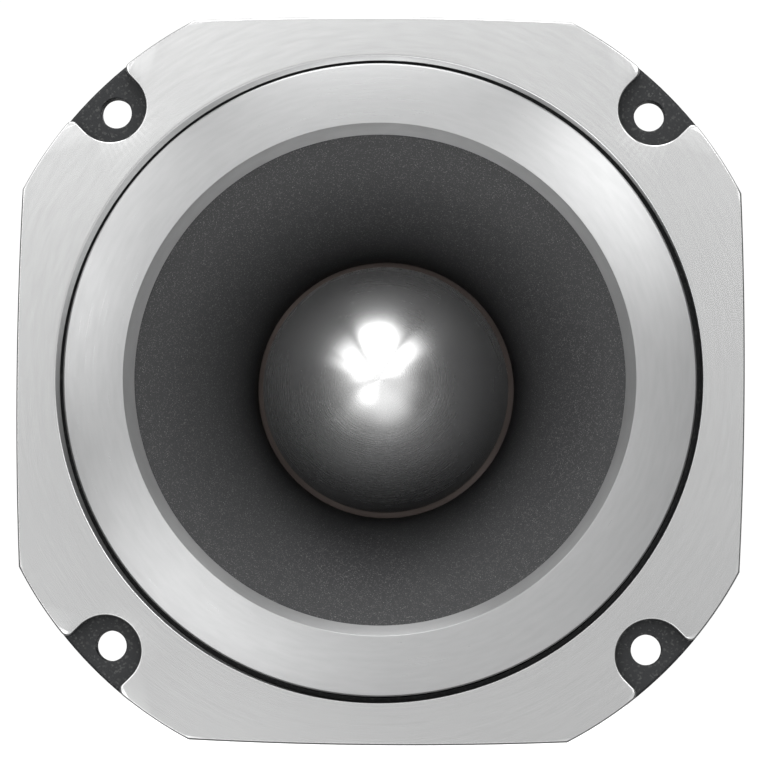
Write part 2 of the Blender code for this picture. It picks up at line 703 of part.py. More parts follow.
def build_leads(red, black):
    """Leads from the posts, past the magnet and through the top plate, to the driver's tabs."""
    x, y, z = CAPACITOR
    tip = x + CAPACITOR_HALF + CAPACITOR_LEAD[1] + 0.5
    tail = POST_R + GAP + WIRE_R
    behind = -60.2
    up = {}
    for pole, degrees in TAB_ANGLES.items():
        px, py = polar(LEAD_HOLE_PITCH_R, degrees)
        up[pole] = [(px, py, -38.2), (px, py, -33.0), (px, py, SEAT_Z + 0.2)]
    post_lead = [
        (SOCKET_X + tail, CUP_Y, behind),
        (15.0, -10.0, -60.2),
        (18.3, 0.0, -60.8),
        (19.4, 8.0, -61.9),
        (19.0, 12.6, -62.9),
        (17.4, y, z),
        (tip, y, z),
    ]
    wire("lead_post_to_capacitor", smooth_route(post_lead), WIRE_R, red)
    tab_lead = [
        (-tip, y, z),
        (-18.0, 13.2, -62.9),
        (-21.0, 7.8, -62.0),
        (-29.0, 0.5, -60.8),
        (-35.5, -8.0, -56.5),
        (-33.4, -14.6, -50.0),
        (-28.6, -22.6, -43.5),
        *up["positive"],
    ]
    wire("lead_capacitor_to_tab", smooth_route(tab_lead), WIRE_R, red)
    return_lead = [
        (-SOCKET_X, CUP_Y - tail, behind),
        (-6.5, -20.2, -60.0),
        (2.0, -21.6, -59.9),
        (12.0, -22.4, -59.9),
        (20.5, -22.4, -59.6),
        (27.8, -22.6, -57.6),
        (29.2, -21.8, -51.5),
        (27.0, -24.4, -44.5),
        *up["negative"],
    ]
    wire("lead_return", smooth_route(return_lead), WIRE_R, black)


def main():
    global root
    for obj in list(bpy.data.objects):
        bpy.data.objects.remove(obj)
    root = bpy.data.objects.new("horn_axis", None)
    bpy.context.scene.collection.objects.link(root)
    root.rotation_euler = (math.radians(90), 0, 0)

    bright = material("turned_aluminium", (0.80, 0.80, 0.80), 0.22, 1.0)
    polished = material("polished_aluminium", (0.86, 0.86, 0.86), 0.12, 1.0)
    powder_coat = material("black_powder_coat", (0.022, 0.022, 0.024), 0.6)
    horn_black = material("horn_black", (0.045, 0.045, 0.048), 0.5)
    cover_black = material("cover_black", (0.02, 0.02, 0.021), 0.45)
    steel = material("zinc_steel", (0.55, 0.56, 0.58), 0.35, 1.0)
    ferrite = material("ferrite", (0.06, 0.06, 0.065), 0.7)
    titanium = material("titanium", (0.52, 0.50, 0.47), 0.3, 1.0)
    phenolic = material("phenolic", (0.16, 0.07, 0.035), 0.55)
    aluminium = material("former_foil", (0.75, 0.75, 0.76), 0.35, 1.0)
    copper = material("copper_wire", (0.72, 0.35, 0.18), 0.35, 1.0)
    brass = material("brass", (0.78, 0.62, 0.30), 0.3, 1.0)
    cup_black = material("terminal_black", (0.025, 0.025, 0.026), 0.4)
    red = material("red_plastic", (0.55, 0.02, 0.015), 0.35)
    black = material("black_plastic", (0.02, 0.02, 0.02), 0.35)
    sleeve = material("capacitor_sleeve", (0.03, 0.05, 0.16), 0.35)

    build_face_plate(bright)
    build_frame(powder_coat)
    build_frame_screws(steel)
    build_horn(horn_black)
    build_trim_ring(bright)
    build_bullet(polished)
    build_bullet_bolt(steel)
    build_diaphragm(titanium, phenolic)
    build_voice_coil(aluminium, copper, brass)
    build_magnet_system(steel, ferrite)
    build_driver_screws(steel)
    build_rear_cover(cover_black, steel)
    build_terminal_block(cup_black, steel)
    build_push_terminal("red", SOCKET_X, red, brass, steel)
    build_push_terminal("black", -SOCKET_X, black, brass, steel)
    build_capacitor(sleeve, steel)
    build_leads(red, black)


main()
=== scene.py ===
"""Looks of the bullet tweeter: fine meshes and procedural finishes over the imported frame, a stage and a camera.

Shapes are worked out lying on their back, in millimetres, as the parts were designed: +X right, +Y up and +Z out
of the horn's mouth, with z = 0 on the flange's mounting face. WORLD stands them up, in metres.
"""

import json
import math

import bmesh
import bpy
import numpy as np
from mathutils import Matrix, Vector

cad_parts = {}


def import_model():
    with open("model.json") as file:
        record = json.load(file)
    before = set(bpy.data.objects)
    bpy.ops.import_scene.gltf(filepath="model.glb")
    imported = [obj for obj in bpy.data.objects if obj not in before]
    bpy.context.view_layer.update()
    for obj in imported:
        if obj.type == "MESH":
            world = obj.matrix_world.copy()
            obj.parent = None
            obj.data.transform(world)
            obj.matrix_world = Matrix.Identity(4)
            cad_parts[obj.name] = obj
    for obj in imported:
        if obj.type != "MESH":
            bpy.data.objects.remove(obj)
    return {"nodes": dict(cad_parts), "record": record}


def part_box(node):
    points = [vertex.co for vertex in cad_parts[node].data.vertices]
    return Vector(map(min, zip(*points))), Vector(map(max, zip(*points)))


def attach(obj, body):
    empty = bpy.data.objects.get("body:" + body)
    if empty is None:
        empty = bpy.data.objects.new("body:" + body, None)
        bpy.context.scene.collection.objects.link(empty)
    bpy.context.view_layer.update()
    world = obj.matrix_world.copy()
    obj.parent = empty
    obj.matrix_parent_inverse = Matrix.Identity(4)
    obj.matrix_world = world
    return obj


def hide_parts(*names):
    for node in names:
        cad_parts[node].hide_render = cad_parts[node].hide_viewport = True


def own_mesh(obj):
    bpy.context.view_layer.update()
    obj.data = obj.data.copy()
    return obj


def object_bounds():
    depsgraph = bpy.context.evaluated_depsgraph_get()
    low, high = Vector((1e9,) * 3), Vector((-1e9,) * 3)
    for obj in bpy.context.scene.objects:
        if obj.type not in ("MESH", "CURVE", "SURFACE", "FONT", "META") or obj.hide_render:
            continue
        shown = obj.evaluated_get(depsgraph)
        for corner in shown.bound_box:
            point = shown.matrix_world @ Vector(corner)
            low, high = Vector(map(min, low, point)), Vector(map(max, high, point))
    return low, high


MM = 0.001
WORLD = Matrix(((MM, 0, 0, 0), (0, 0, -MM, 0), (0, MM, 0, 0), (0, 0, 0, 1)))
FINE = 256  # facets round the large turned pieces
SMALL = 64  # and round the small ones
SHARP = math.radians(32)

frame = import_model()
cad_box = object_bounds()
BODIES = {node: body for body, nodes in frame["record"]["behaviour"]["bodies"].items() for node in nodes}
SLOTS = {entry["node"]: entry["material_slot"] for entry in frame["record"]["subparts"]}


def size(node):
    """A node's lowest and highest corner in millimetres, as the parts were designed."""
    low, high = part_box(node)
    return Vector((low.x, low.z, -high.y)) / MM, Vector((high.x, high.z, -low.y)) / MM


# ------------------------------------------------------------------------- meshes


def piece(name, bm, node, sharp=SHARP, weighted=False):
    """Stands a mesh up in place of a CAD node and gives it that node's body, slot and finish."""
    bmesh.ops.remove_doubles(bm, verts=bm.verts, dist=1e-5)
    bmesh.ops.recalc_face_normals(bm, faces=bm.faces)
    bm.transform(WORLD)
    mesh = bpy.data.meshes.new(name)
    bm.to_mesh(mesh)
    bm.free()
    mesh.shade_smooth()
    mesh.set_sharp_from_angle(angle=sharp)
    slot = SLOTS[node]
    mesh.materials.append(finishes[slot])
    obj = bpy.data.objects.new(name, mesh)
    bpy.context.scene.collection.objects.link(obj)
    if weighted:
        modifier = obj.modifiers.new("weighted_normals", "WEIGHTED_NORMAL")
        modifier.keep_sharp = True
        modifier.weight = 100
    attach(obj, BODIES[node])
    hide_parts(node)
    return obj


def polar(radius, degrees):
    a = math.radians(degrees)
    return radius * math.cos(a), radius * math.sin(a)


def rounded(corners, steps=4, closed=False):
    """A path with its corners filleted. A corner is (x, y) or (x, y, fillet radius)."""
    path = []
    count = len(corners)
    for i, corner in enumerate(corners):
        here = Vector(corner[:2])
        ends = i in (0, count - 1) and not closed
        if len(corner) < 3 or ends:
            path.append(tuple(here))
            continue
        before = Vector(corners[i - 1][:2]) - here
        after = Vector(corners[(i + 1) % count][:2]) - here
        half = before.angle(after) / 2
        reach = corner[2] / math.tan(half)
        start, stop = here + before.normalized() * reach, here + after.normalized() * reach
        centre = here + (before.normalized() + after.normalized()).normalized() * corner[2] / math.sin(half)
        a, b = start - centre, stop - centre
        sweep = a.angle_signed(b)
        for k in range(steps + 1):
            turned_by = Matrix.Rotation(-sweep * k / steps, 2)
            path.append(tuple(centre + turned_by @ a))
    return path


def lathe(bm, profile, segments, centre=(0, 0, 0), closed=False):
    """Turns (radius, z) points round the z axis through centre. Points on the axis become poles."""
    cx, cy, cz = centre
    rings = []
    for r, z in profile:
        if r < 1e-6:
            rings.append([bm.verts.new((cx, cy, cz + z))] * segments)
            continue
        ring = []
        for i in range(segments):
            a = math.tau * i / segments
            ring.append(bm.verts.new((cx + r * math.cos(a), cy + r * math.sin(a), cz + z)))
        rings.append(ring)
    pairs = list(zip(rings, rings[1:]))
    if closed:
        pairs.append((rings[-1], rings[0]))
    for lower, upper in pairs:
        for i in range(segments):
            j = (i + 1) % segments
            corners = [lower[i], lower[j], upper[j], upper[i]]
            unique = list(dict.fromkeys(corners))
            if len(unique) > 2:
                bm.faces.new(unique)


def turned(profile, segments=FINE, centre=(0, 0, 0), closed=False):
    bm = bmesh.new()
    lathe(bm, profile, segments, centre, closed)
    return bm


def loop(bm, outline, z):
    return [bm.verts.new((x, y, z)) for x, y in outline]


def walls(bm, *loops):
    for lower, upper in zip(loops, loops[1:]):
        for i, start in enumerate(lower):
            j = (i + 1) % len(lower)
            bm.faces.new((start, lower[j], upper[j], upper[i]))


def cap(bm, *loops):
    edges = []
    for verts in loops:
        for pair in zip(verts, verts[1:] + verts[:1]):
            edges.append(bm.edges.get(pair) or bm.edges.new(pair))
    bmesh.ops.triangle_fill(bm, edges=edges, use_beauty=True, use_dissolve=False)


def circle(radius, centre=(0, 0), steps=SMALL):
    points = (polar(radius, 360 * (i + 0.5) / steps) for i in range(steps))
    return [(centre[0] + dx, centre[1] + dy) for dx, dy in points]


def prism(bm, outline_points, z0, z1):
    """Adds a closed prism to a mesh, and returns the mesh."""
    lower, upper = loop(bm, outline_points, z0), loop(bm, outline_points, z1)
    walls(bm, lower, upper)
    cap(bm, lower)
    cap(bm, upper)
    return bm


def rods(holes, steps=SMALL):
    """Closed cylinders, each (x, y, radius, z0, z1), for cutting holes."""
    bm = bmesh.new()
    for x, y, radius, z0, z1 in holes:
        prism(bm, circle(radius, (x, y), steps), z0, z1)
    return bm


def tube(bm, points, radius, sides=10):
    """A round tube through points, with flat ends."""
    points = [Vector(p) for p in points]
    up = Vector((0.3, 0.2, 1.0)).normalized()
    rings = []
    for i, p in enumerate(points):
        along = (points[min(i + 1, len(points) - 1)] - points[max(i - 1, 0)]).normalized()
        side = along.cross(up).normalized()
        up = side.cross(along).normalized()
        ring = []
        for k in range(sides):
            dx, dy = polar(radius, 360 * k / sides)
            ring.append(bm.verts.new(p + side * dx + up * dy))
        rings.append(ring)
    walls(bm, *rings)
    bm.faces.new(rings[0][::-1])
    bm.faces.new(rings[-1])


def subtract(bm, cutter):
    return combine(bm, cutter, "DIFFERENCE")


def combine(bm, other, operation):
    """One mesh joined with another or cut by it. Both are closed, and both are used up."""
    objects = []
    for source in (bm, other):
        bmesh.ops.remove_doubles(source, verts=source.verts, dist=1e-5)
        bmesh.ops.recalc_face_normals(source, faces=source.faces)
        mesh = bpy.data.meshes.new("cut")
        source.to_mesh(mesh)
        source.free()
        obj = bpy.data.objects.new("cut", mesh)
        bpy.context.scene.collection.objects.link(obj)
        objects.append(obj)
    target, tool = objects
    modifier = target.modifiers.new("cut", "BOOLEAN")
    modifier.operation = operation
    modifier.object = tool
    evaluated = target.evaluated_get(bpy.context.evaluated_depsgraph_get())
    result = bmesh.new()
    result.from_mesh(evaluated.to_mesh())
    evaluated.to_mesh_clear()
    for obj in objects:
        mesh = obj.data
        bpy.data.objects.remove(obj)
        bpy.data.meshes.remove(mesh)
    return result


# ----------------------------------------------------------------------- materials


def add_node(tree, kind, inputs=(), **settings):
    """A shader node with its settings made and each of its inputs linked or given a value."""
    node = tree.nodes.new("ShaderNode" + kind)
    for setting, value in settings.items():
        setattr(node, setting, value)
    for socket, value in dict(inputs).items():
        if isinstance(value, bpy.types.NodeSocket):
            tree.links.new(value, node.inputs[socket])
        else:
            node.inputs[socket].default_value = value
    return node


class Finish:
    """A Principled material and short calls that add nodes to it."""

    def __init__(self, name, colour, roughness, metallic=0.0, **sockets):
        self.name = name
        self.material = bpy.data.materials.new(name)
        self.material.use_nodes = True
        self.tree = self.material.node_tree
        self.shader = self.tree.nodes["Principled BSDF"]
        self.set("Base Color", (*colour, 1.0))
        self.set("Roughness", roughness)
        self.set("Metallic", metallic)
        for socket, value in sockets.items():
            self.set(socket.replace("_", " "), value)

    def set(self, socket, value):
        self.shader.inputs[socket].default_value = value

    def add(self, kind, inputs=(), **settings):
        return add_node(self.tree, kind, inputs, **settings)

    def math(self, operation, a, b=0.0):
        return self.add("Math", {0: a, 1: b}, operation=operation).outputs[0]

    def place(self):
        return self.add("TexCoord").outputs["Object"]

    def noise(self, vector, scale, detail=3.0, rough=0.5):
        inputs = {"Vector": vector, "Scale": scale, "Detail": detail, "Roughness": rough}
        return self.add("TexNoise", inputs).outputs["Fac"]

    def range(self, value, low, high, start=0.0, stop=1.0):
        inputs = {"Value": value, "From Min": start, "From Max": stop, "To Min": low, "To Max": high}
        return self.add("MapRange", inputs).outputs["Result"]

    def shade(self, factor, dark, light):
        mix = self.add("Mix", {"Factor": factor}, data_type="RGBA")
        mix.inputs[6].default_value = (*dark, 1.0)
        mix.inputs[7].default_value = (*light, 1.0)
        self.tree.links.new(mix.outputs[2], self.shader.inputs["Base Color"])

    def link(self, output, socket):
        self.tree.links.new(output, self.shader.inputs[socket])

    def bump(self, height, distance):
        node = self.add("Bump", {"Height": height, "Distance": distance, "Strength": 1.0})
        self.link(node.outputs["Normal"], "Normal")

    def around(self):
        """Radius from the horn's axis in metres, and angle round it as a share of a turn."""
        xyz = self.add("SeparateXYZ", {0: self.place()}).outputs
        squares = [self.math("MULTIPLY", xyz[name], xyz[name]) for name in "XZ"]
        radius = self.math("SQRT", self.math("ADD", *squares))
        angle = self.math("DIVIDE", self.math("ARCTAN2", xyz["Z"], xyz["X"]), math.tau)
        return radius, angle


TOOL_MARKS = 9000.0  # noise cells a metre, across the marks
STREAKS = (1500.0, 60.0)  # noise cells a metre across the marks, and in a turn along them
ROUGH_AND_SHADE = (0.06, 0.05, 0.0001)  # rougher by, colour dimmed by as painted shade, over so many metres


def turned_metal(name, colour, roughness, anisotropy, depth=3e-8, uneven=1.0, rough_and_shaded_within=0.0):
    """Lathe-turned metal: fine tool marks in circles, streaked a little round each circle.

    Inside the radius given last, the metal is a little rougher, and its colour is dimmed: painted shade at the bevel
    into the horn's mouth.
    """
    f = Finish(name, colour, roughness, 1.0, Anisotropic=anisotropy, Anisotropic_Rotation=0.25)
    radius, angle = f.around()
    tangent = f.add("Tangent", direction_type="RADIAL", axis="Y")
    f.link(tangent.outputs["Tangent"], "Tangent")
    across = {"W": f.math("MULTIPLY", radius, TOOL_MARKS), "Scale": 1.0, "Detail": 2.0}
    grooves = f.add("TexNoise", across, noise_dimensions="1D").outputs["Fac"]
    streak = {"X": f.math("MULTIPLY", radius, STREAKS[0]), "Y": f.math("MULTIPLY", angle, STREAKS[1])}
    streaks = f.noise(f.add("CombineXYZ", streak).outputs[0], 1.0, 2.0)
    stain = f.noise(f.place(), 35.0, 3.0)
    marked = f.range(grooves, -0.02 * uneven, 0.02 * uneven, 0.3, 0.7)
    rough = f.math("ADD", marked, f.range(stain, -0.015, 0.015))
    rough = f.math("ADD", rough, f.range(streaks, roughness - 0.015 * uneven, roughness + 0.015 * uneven))
    rougher, painted_darker_by, over = ROUGH_AND_SHADE
    # mask inside the given radius: adds roughness and painted shade
    rough_and_shade_mask = f.range(radius, 1.0, 0.0, rough_and_shaded_within, rough_and_shaded_within + over)
    f.link(f.math("ADD", rough, f.math("MULTIPLY", rough_and_shade_mask, rougher)), "Roughness")
    # the colour is dimmed inside that radius: painted shade
    tone = f.math("SUBTRACT", f.range(streaks, 1.0, 1.0 - 0.06 * uneven, 0.3, 0.7), f.math("MULTIPLY", rough_and_shade_mask, painted_darker_by))
    f.shade(tone, (0.0, 0.0, 0.0), [min(1.0, c * 1.03) for c in colour])
    f.bump(grooves, depth)
    return f


def speckled(name, dark, light, roughness, grain, depth, sparkle, gloss, few):
    """Textured coat: grains of one size in metres, paler past the share few."""
    f = Finish(name, dark, roughness, Specular_IOR_Level=gloss)
    place = f.place()
    cells = f.add("TexVoronoi", {"Vector": place, "Scale": 1.0 / grain, "Randomness": 1.0}, feature="F1")
    fine = f.noise(place, 0.6 / grain, 4.0, 0.6)
    pick = f.add("SeparateColor", {0: cells.outputs["Color"]}).outputs[0]
    f.shade(f.range(pick, 0.0, 1.0, few, 1.0), dark, light)
    f.link(f.range(fine, roughness - 0.08 - sparkle, roughness + 0.08), "Roughness")
    f.bump(f.math("ADD", f.math("MULTIPLY", cells.outputs["Distance"], -0.5), fine), depth)
    return f


def moulded(name, colour, roughness, **sockets):
    """Moulded plastic with a fine eggshell and a little uneven gloss."""
    f = Finish(name, colour, roughness, **sockets)
    place = f.place()
    fine = f.noise(place, 2500.0, 3.0)
    broad = f.noise(place, 60.0, 3.0)
    f.link(f.range(broad, roughness - 0.06, roughness + 0.08), "Roughness")
    f.shade(broad, [c * 0.85 for c in colour], [min(1.0, c * 1.12) for c in colour])
    f.bump(fine, 6e-6)
    return f


def plated(name, colour, roughness):
    """Plated or bare metal with a slightly cloudy surface."""
    f = Finish(name, colour, roughness, 1.0)
    place = f.place()
    cloud = f.noise(place, 140.0, 4.0)
    fine = f.noise(place, 900.0, 3.0)
    f.link(f.range(cloud, roughness - 0.08, roughness + 0.12), "Roughness")
    f.shade(cloud, [c * 0.82 for c in colour], colour)
    f.bump(fine, 1.5e-6)
    return f


def sintered(name, colour, roughness):
    """Pressed and fired powder, with an even mottled grain."""
    f = Finish(name, colour, roughness)
    place = f.place()
    grain = f.noise(place, 2500.0, 4.0, 0.7)
    f.shade(grain, [c * 0.7 for c in colour], [c * 1.4 for c in colour])
    f.bump(grain, 2e-5)
    return f


def board(name, colour, roughness):
    """Resin board with its paper's mottling."""
    f = Finish(name, colour, roughness)
    place = f.place()
    mottle = f.noise(place, 400.0, 5.0, 0.65)
    f.shade(mottle, [c * 0.65 for c in colour], [c * 1.3 for c in colour])
    f.bump(mottle, 8e-6)
    return f


POWDER_DARK, POWDER_LIGHT = (0.010, 0.011, 0.0125), (0.045, 0.046, 0.045)
HORN_DARK, HORN_LIGHT = (0.0395, 0.040, 0.0415), (0.20, 0.20, 0.195)
RING_FACE_R = 0.03434  # the ring's flat face starts here, in metres; the bevel inside it is rougher and has painted shade

materials = (
    turned_metal("turned_aluminium", (0.595, 0.597, 0.597), 0.20, 0.4),
    # its bevel into the horn's mouth is rougher, with painted shade dimming its colour
    turned_metal("turned_ring", (0.419, 0.421, 0.423), 0.30, 0.85, rough_and_shaded_within=RING_FACE_R),
    turned_metal("polished_aluminium", (0.79, 0.79, 0.79), 0.27, 0.85, depth=3e-9, uneven=0.2),
    speckled("black_powder_coat", POWDER_DARK, POWDER_LIGHT, 0.55, 0.00025, 3e-5, sparkle=0.0, gloss=0.4, few=0.82),
    speckled("horn_black", HORN_DARK, HORN_LIGHT, 0.5, 0.00009, 1.2e-5, sparkle=0.05, gloss=0.35, few=0.9),
    moulded("cover_black", (0.018, 0.018, 0.019), 0.38),
    moulded("terminal_black", (0.022, 0.022, 0.023), 0.45),
    moulded("red_plastic", (0.50, 0.012, 0.01), 0.3, Coat_Weight=0.2),
    moulded("black_plastic", (0.018, 0.018, 0.018), 0.3, Coat_Weight=0.2),
    plated("zinc_steel", (0.60, 0.61, 0.63), 0.3),
    plated("brass", (0.80, 0.63, 0.32), 0.24),
    plated("copper_wire", (0.74, 0.34, 0.17), 0.3),
    plated("former_foil", (0.78, 0.78, 0.79), 0.3),
    plated("titanium", (0.105, 0.087, 0.08), 0.45),
    sintered("ferrite", (0.05, 0.05, 0.054), 0.65),
    board("phenolic", (0.16, 0.07, 0.035), 0.5),
    moulded("capacitor_sleeve", (0.02, 0.04, 0.15), 0.28),
    moulded("lead_red", (0.45, 0.012, 0.01), 0.4),
    moulded("lead_black", (0.016, 0.016, 0.016), 0.4),
)
finishes = {made.name: made.material for made in materials}

for node, slot in SLOTS.items():
    mesh = frame["nodes"][node].data
    mesh.materials.clear()
    mesh.materials.append(finishes[slot])

# ----------------------------------------------------------- trim plate and frame

plate_low, plate_high = size("face_plate")
frame_low, frame_high = size("mounting_frame")
PLATE_HALF = plate_high.x
SIDE_BOW_R = 560.0
CORNER_R = 54.7
FRAME_INSET = -0.1  # its dark edge shows all round the plate
HOLE_PITCH = 72.0
HOLE_R = 2.05
NOTCH_R = 4.8
NOTCH_SHIFT = 1.0
NOTCH_TIP_R = 1.0
OPENING_R = 43.2
OPENING_BEVEL_R = 43.6
OPENING_BEVEL_DEPTH = 0.3
OPENING_CENTRE = (0.06, -0.05)  # the ring sits a little off the middle of it
BEVEL_CENTRE = (-0.2, 0.2)  # its bevel is widest at the upper left
PLATE_EDGE = 0.25
FRAME_T = frame_high.z
POCKET = (42.7, 1.6)  # radius, z of its floor
SPIGOT_R = 41.3
SPIGOT_Z = frame_low.z
BORE_R = 36.0
CORNERS = (45, 135, 225, 315)
QUARTERS = (0, 90, 180, 270)
PLATE_SCREWS = (48.3, (30, 120, 210, 300))  # radius of the circle they stand on, degrees round it
HORN_SCREWS = (38.7, QUARTERS)
DRIVER_SCREWS = (35.8, QUARTERS)
PILOT_R, PASSAGE_R = 1.3, 1.8  # of the screws' holes


def outline(inset=0.0, notched=True, fine=10):
    """The bowed square with arc corners. Notches leave the frame's ears bare."""
    side_centre = PLATE_HALF - SIDE_BOW_R
    side_r, corner_r = SIDE_BOW_R - inset, CORNER_R - inset
    x = (corner_r**2 - side_r**2 + side_centre**2) / (2 * side_centre)
    vertex = math.sqrt(corner_r**2 - x**2)
    bow = math.degrees(math.asin(vertex / side_r))
    first = math.degrees(math.asin(vertex / corner_r))
    octant = []
    for i in range(fine):
        dx, dy = polar(side_r, bow * i / fine)
        octant.append((side_centre + dx, dy))
    if notched:
        octant += notch_half(inset, first, corner_r, fine)
    else:
        octant += [polar(corner_r, first + (45 - first) * i / fine) for i in range(fine + 1)]
    quadrant = octant + [(b, a) for a, b in reversed(octant)][1:-1]
    points = []
    for c, s in ((1, 0), (0, 1), (-1, 0), (0, -1)):
        points += [(c * a - s * b, s * a + c * b) for a, b in quadrant]
    return points


def notch_half(inset, first, corner_r, fine):
    """The corner arc, its rounded tip, and half of the U-shaped notch, down to the diagonal."""
    tip_r, notch_r = NOTCH_TIP_R - inset, NOTCH_R + inset
    across = NOTCH_R + NOTCH_TIP_R
    along = math.sqrt((CORNER_R - NOTCH_TIP_R) ** 2 - across**2)
    lean = math.degrees(math.atan2(across, along))
    points = [polar(corner_r, first + (45 - lean - first) * i / fine) for i in range(fine + 1)]
    bottom = HOLE_PITCH / math.sqrt(2) + NOTCH_SHIFT
    sides = []
    for i in range(1, fine + 1):
        dx, dy = polar(tip_r, -lean + (90 + lean) * i / fine)
        sides.append((along + dx, dy - across))
    for i in range(2 * fine + 1):
        dx, dy = polar(notch_r, 270 - 90 * i / (2 * fine))
        sides.append((bottom + dx, dy))
    half = math.sqrt(0.5)
    return points + [((u - v) * half, (u + v) * half) for u, v in sides]


def edge_steps(width, steps=3):
    """(inset, drop) along a quarter round edge, from the side to the face."""
    for i in range(steps + 1):
        c, s = polar(width, 90 * i / steps)
        yield width - c, width - s


def pattern(pitch_r, angles):
    """Places on a circle."""
    return [polar(pitch_r, a) for a in angles]


def face_plate():
    bm = bmesh.new()
    back, front = plate_low.z, plate_high.z
    rim = [loop(bm, outline(), back)]
    rim += [loop(bm, outline(inset), front - drop) for inset, drop in edge_steps(PLATE_EDGE)]
    bevel_z = front - OPENING_BEVEL_DEPTH
    outer = OPENING_BEVEL_R
    path = rounded([(OPENING_R, back), (OPENING_R, bevel_z, 0.06), (outer, front, 0.3), (outer + 0.3, front)])
    hole = []
    for r, z in path:
        drift = min(max((z - bevel_z) / OPENING_BEVEL_DEPTH, 0.0), 1.0)
        centre = [a + drift * (b - a) for a, b in zip(OPENING_CENTRE, BEVEL_CENTRE)]
        hole.append(loop(bm, circle(r, centre, FINE), z))
    walls(bm, *rim)
    walls(bm, *hole)
    cap(bm, rim[0], hole[0])
    cap(bm, rim[-1], hole[-1])
    bm = subtract(bm, rods([(x, y, PILOT_R, back - 1, back + 1.5) for x, y in pattern(*PLATE_SCREWS)], 24))
    piece("trim_plate", bm, "face_plate", weighted=True)


def base_frame():
    bm = bmesh.new()
    inset = FRAME_INSET
    steps = list(edge_steps(0.4))
    rim = [loop(bm, outline(inset + i, False), drop) for i, drop in reversed(steps)]
    rim += [loop(bm, outline(inset + i, False), FRAME_T - drop) for i, drop in steps]
    pocket_r, pocket_z = POCKET
    path = rounded(
        [
            (SPIGOT_R + 1.0, 0),
            (SPIGOT_R, 0, 0.6),
            (SPIGOT_R, SPIGOT_Z, 0.5),
            (BORE_R, SPIGOT_Z, 0.5),
            (BORE_R, pocket_z, 0.4),
            (pocket_r, pocket_z, 0.3),
            (pocket_r, FRAME_T),
        ]
    )
    hub = [loop(bm, circle(r, steps=FINE), z) for r, z in path]
    walls(bm, *rim)
    walls(bm, *hub)
    cap(bm, rim[0], hub[0])
    cap(bm, rim[-1], hub[-1])
    ears = turned_cutters(pattern(HOLE_PITCH / math.sqrt(2), CORNERS), HOLE_R, 0, FRAME_T, 0.2)
    bm = subtract(bm, ears)
    seats = [(x, y, 2.4, -1, 2.0) for x, y in pattern(*PLATE_SCREWS)]
    bm = subtract(bm, rods(seats, 32))
    bm = subtract(bm, rods([(x, y, PILOT_R, -1, FRAME_T + 1) for x, y in pattern(*PLATE_SCREWS)], 24))
    passages = [(x, y, PASSAGE_R, SPIGOT_Z - 1, pocket_z + 1) for x, y in pattern(*HORN_SCREWS)]
    bm = subtract(bm, rods(passages, 24))
    piece("base_frame", bm, "mounting_frame", weighted=True)


def turned_cutters(places, radius, z0, z1, lip, steps=48):
    """Through holes with a small rounded lip at each end."""
    bm = bmesh.new()
    path = [(0, z0 - 1), (radius + lip, z0 - 1), (radius + lip, z0)]
    path += [(radius + 0.3 * lip, z0 + 0.3 * lip), (radius, z0 + lip)]
    path += [(r, z0 + z1 - z) for r, z in reversed(path)]
    for x, y in places:
        lathe(bm, path, steps, (x, y, 0))
    return bm


# -------------------------------------------------------------- horn, ring, bullet

horn_low, horn_high = size("horn")
ring_low, ring_high = size("trim_ring")
bullet_low, bullet_high = size("bullet")
RING_OUT = (ring_high.x, 9.0)
RING_IN = (34.4, ring_high.z)
MOUTH = (33.0, horn_high.z)
LIP_R = 35.0
THROAT = (17.9, horn_low.z)
FLARE = 1.7  # power of the horn's curve
HORN_WALL = 2.6
HORN_FLANGE = (horn_high.x, 1.9, 4.2)  # radius, back, front
DRIVER_FLANGE = (41.0, 5.0)  # radius, thickness
BULLET_R = 17.15
BULLET_HOLE = (2.8, 12.0)  # radius, depth
NOSE_POWER = 2.3  # an ellipse is 2; the bullet is a little blunter
RECESS = (36.2, 41.2, 6.7)  # the ring's groove over the horn's screws: inner and outer radius, z of its floor


def flare_radius(z):
    """Inside radius of the horn."""
    (throat_r, throat_z), (mouth_r, mouth_z) = THROAT, MOUTH
    return throat_r + (mouth_r - throat_r) * ((z - throat_z) / (mouth_z - throat_z)) ** FLARE


def horn():
    throat_z, mouth_z = THROAT[1], MOUTH[1]
    flange_r, flange_back, flange_front = HORN_FLANGE
    driver_r, driver_t = DRIVER_FLANGE
    bell_z = throat_z + driver_t
    inside = [(flare_radius(z), z) for z in np.linspace(throat_z + 0.3, mouth_z - 0.25, 60)]
    path = [(THROAT[0] + 0.3, throat_z), *inside]
    path += rounded(
        [
            inside[-1],
            (MOUTH[0], mouth_z, 0.2),
            (LIP_R, mouth_z, 0.3),
            (LIP_R, flange_front, 0.3),
            (flange_r, flange_front, 0.3),
            (flange_r, flange_back, 0.3),
            (flare_radius(flange_back) + HORN_WALL, flange_back, 1.0),
            (flare_radius(flange_back - 3) + HORN_WALL, flange_back - 3),
        ],
        steps=5,
    )[1:]
    path += [(flare_radius(z) + HORN_WALL, z) for z in np.linspace(flange_back - 3.5, bell_z + 3, 30)]
    path += rounded(
        [
            path[-1],
            (flare_radius(bell_z) + HORN_WALL, bell_z, 1.5),
            (driver_r, bell_z, 0.8),
            (driver_r, throat_z, 0.2),
            (driver_r - 1, throat_z),
        ],
        steps=6,
    )[1:]
    bm = turned(path, FINE, closed=True)
    bm = subtract(bm, rods([(x, y, PASSAGE_R, throat_z - 1, bell_z - 1) for x, y in pattern(*DRIVER_SCREWS)], 24))
    bm = subtract(bm, rods([(x, y, PASSAGE_R, 0, flange_front + 1) for x, y in pattern(*HORN_SCREWS)], 24))
    piece("horn_flare", bm, "horn")


